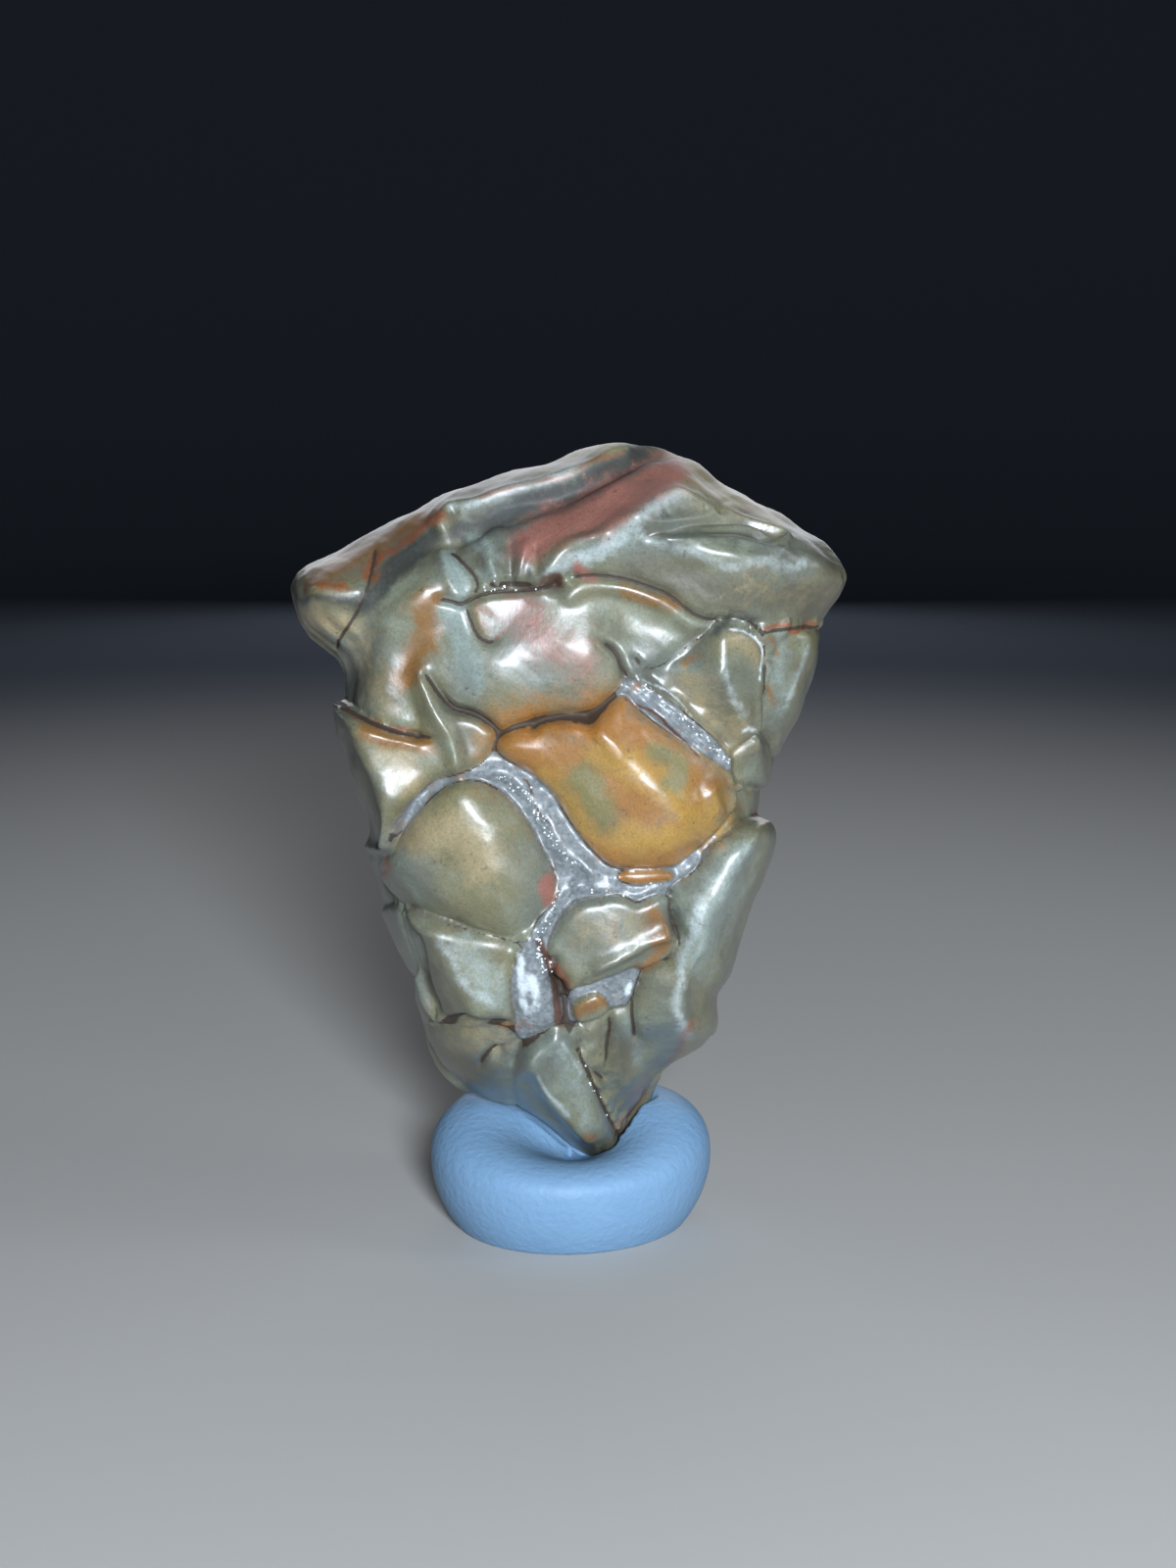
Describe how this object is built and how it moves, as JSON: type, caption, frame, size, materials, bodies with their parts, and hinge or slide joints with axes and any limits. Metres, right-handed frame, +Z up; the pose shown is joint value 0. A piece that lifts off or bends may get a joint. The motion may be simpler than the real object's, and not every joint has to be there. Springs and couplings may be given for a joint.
{
  "type": "scholars rock",
  "caption": "Small waterworn jasper viewing stone, lobed and veined with quartz, balanced on its point in a soft lump of blue-grey putty.",
  "frame": {"origin": "under the middle of the object's bounding box, on the surface that the putty stands on", "axes": "+Z up through the stone from its point, +Y away from the viewer, +X to the viewer's right"},
  "size_m": [0.0462, 0.0288, 0.0669],
  "materials": {
    "stone": "gloss",
    "putty": "matte"
  },
  "bodies": {
    "root": {"stone": "stone", "putty_pad": "putty"}
  },
  "joints": []
}
